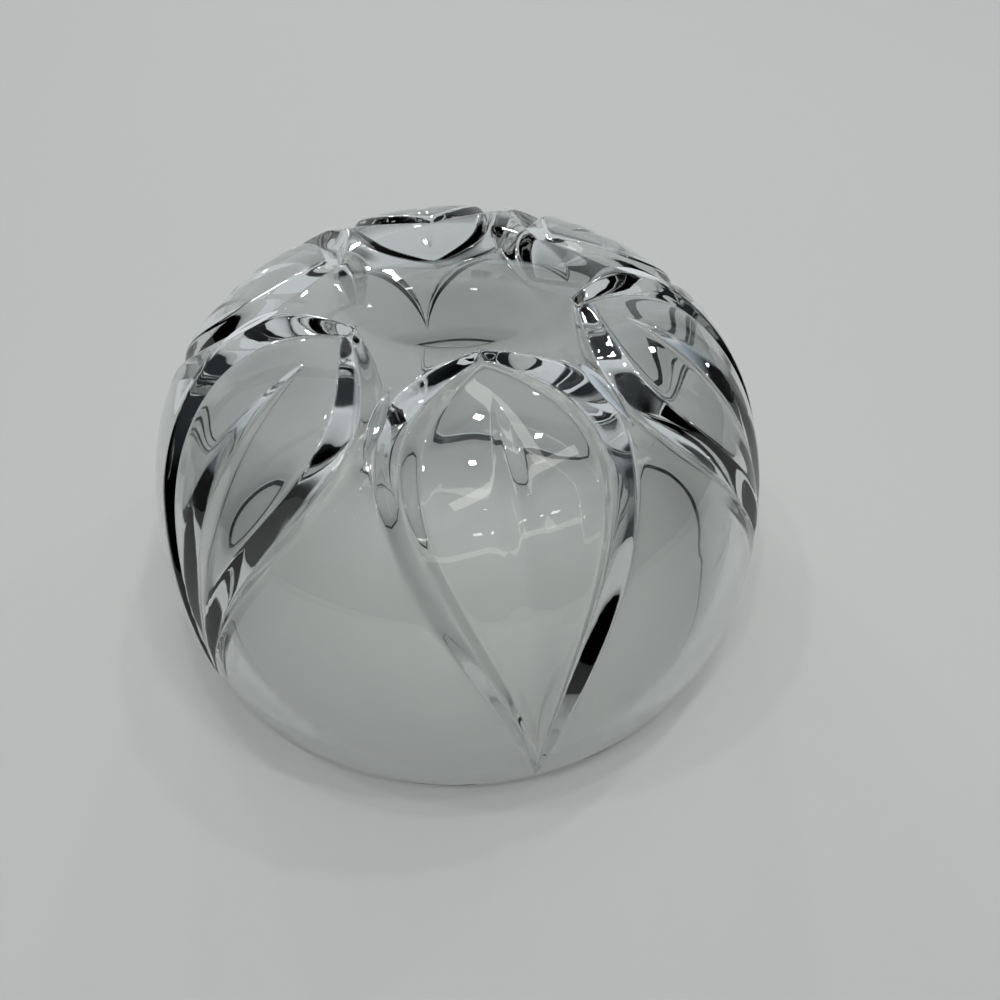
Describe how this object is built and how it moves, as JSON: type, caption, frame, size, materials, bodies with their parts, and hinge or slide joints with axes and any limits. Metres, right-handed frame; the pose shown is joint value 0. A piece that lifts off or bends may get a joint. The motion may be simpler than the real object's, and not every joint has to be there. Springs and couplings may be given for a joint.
{
  "type": "rose bowl vase",
  "caption": "Round, thick-walled clear cut-glass flower bowl with an open mouth, balloon-shaped leaf cuts round its outside and a small flat foot.",
  "frame": {"origin": "centre of the rim's flat land, at the bottom of the bounding box: the bowl lies upside down on its rim, as in the picture; the foot's face is the highest plane", "axes": "+Z along the bowl's axis from the rim to the foot, so that +Z is the bowl's underside in use: turn it half a turn about X to stand it on its foot; one leaf faces -Y"},
  "size_m": [0.15, 0.15, 0.0825],
  "materials": {
    "crystal": "clear polished lead crystal"
  },
  "bodies": {
    "root": {"rose_bowl": "crystal"}
  },
  "joints": []
}
